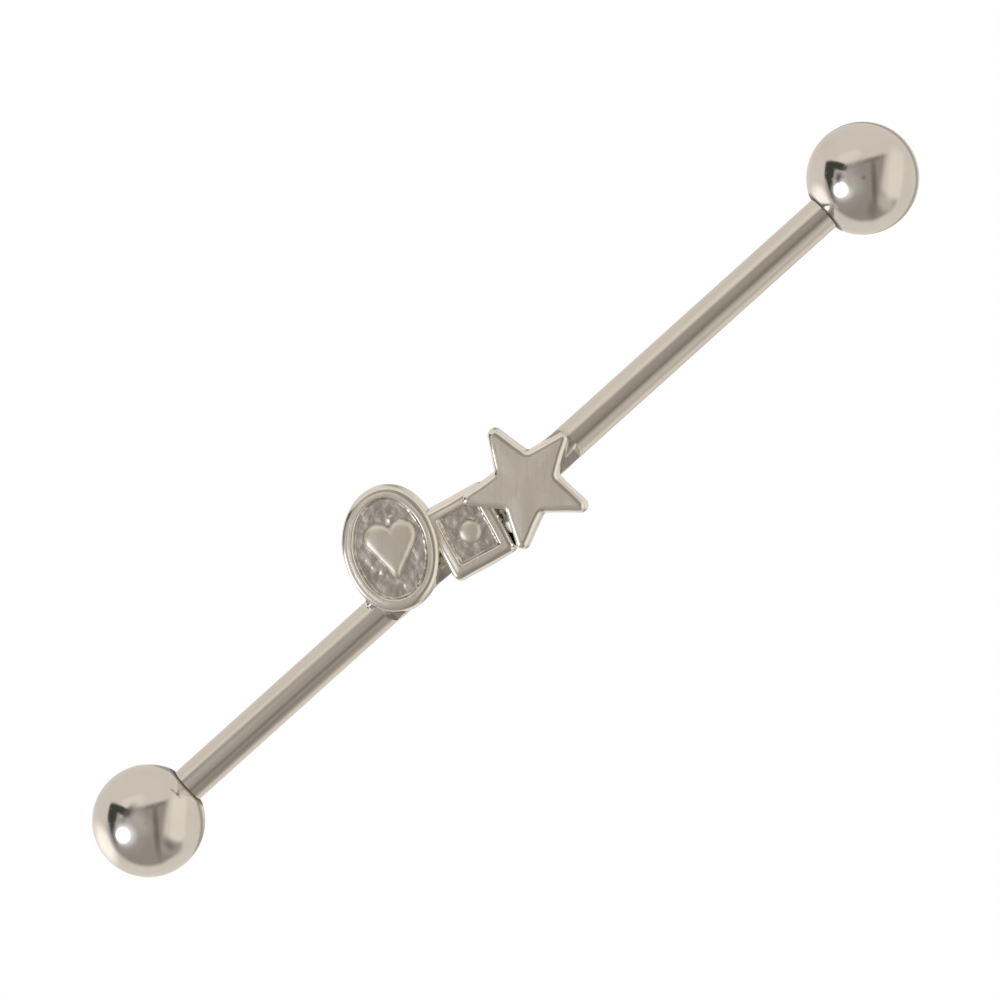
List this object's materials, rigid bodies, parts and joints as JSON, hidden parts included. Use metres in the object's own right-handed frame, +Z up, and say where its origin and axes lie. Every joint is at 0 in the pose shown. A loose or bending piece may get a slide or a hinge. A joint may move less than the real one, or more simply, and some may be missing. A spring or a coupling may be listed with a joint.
{
  "type": "industrial barbell",
  "caption": "Straight steel piercing bar with a screw-on ball at each end and a soldered charm of an oval with a raised heart, a square and a star.",
  "frame": {"origin": "middle of the bounding box, on the surface that the jewel lies on", "axes": "+X along the bar towards the ball beside the oval plate, +Z up from the surface, the charm's face looking up and towards -Y"},
  "size_m": [0.0476, 0.007, 0.0058],
  "materials": {
    "bar_steel": "polished",
    "ball_steel": "polished"
  },
  "bodies": {
    "bar": {"bar_with_charm": "bar_steel"},
    "oval_ball": {"ball_oval_end": "ball_steel"},
    "star_ball": {"ball_star_end": "ball_steel"}
  },
  "joints": [
    {"name": "oval_ball_off", "type": "slide", "parent": "bar", "child": "oval_ball", "axis": [1, 0, 0], "range_m": [0, 0.008]},
    {"name": "star_ball_off", "type": "slide", "parent": "bar", "child": "star_ball", "axis": [-1, 0, 0], "range_m": [0, 0.008]}
  ]
}
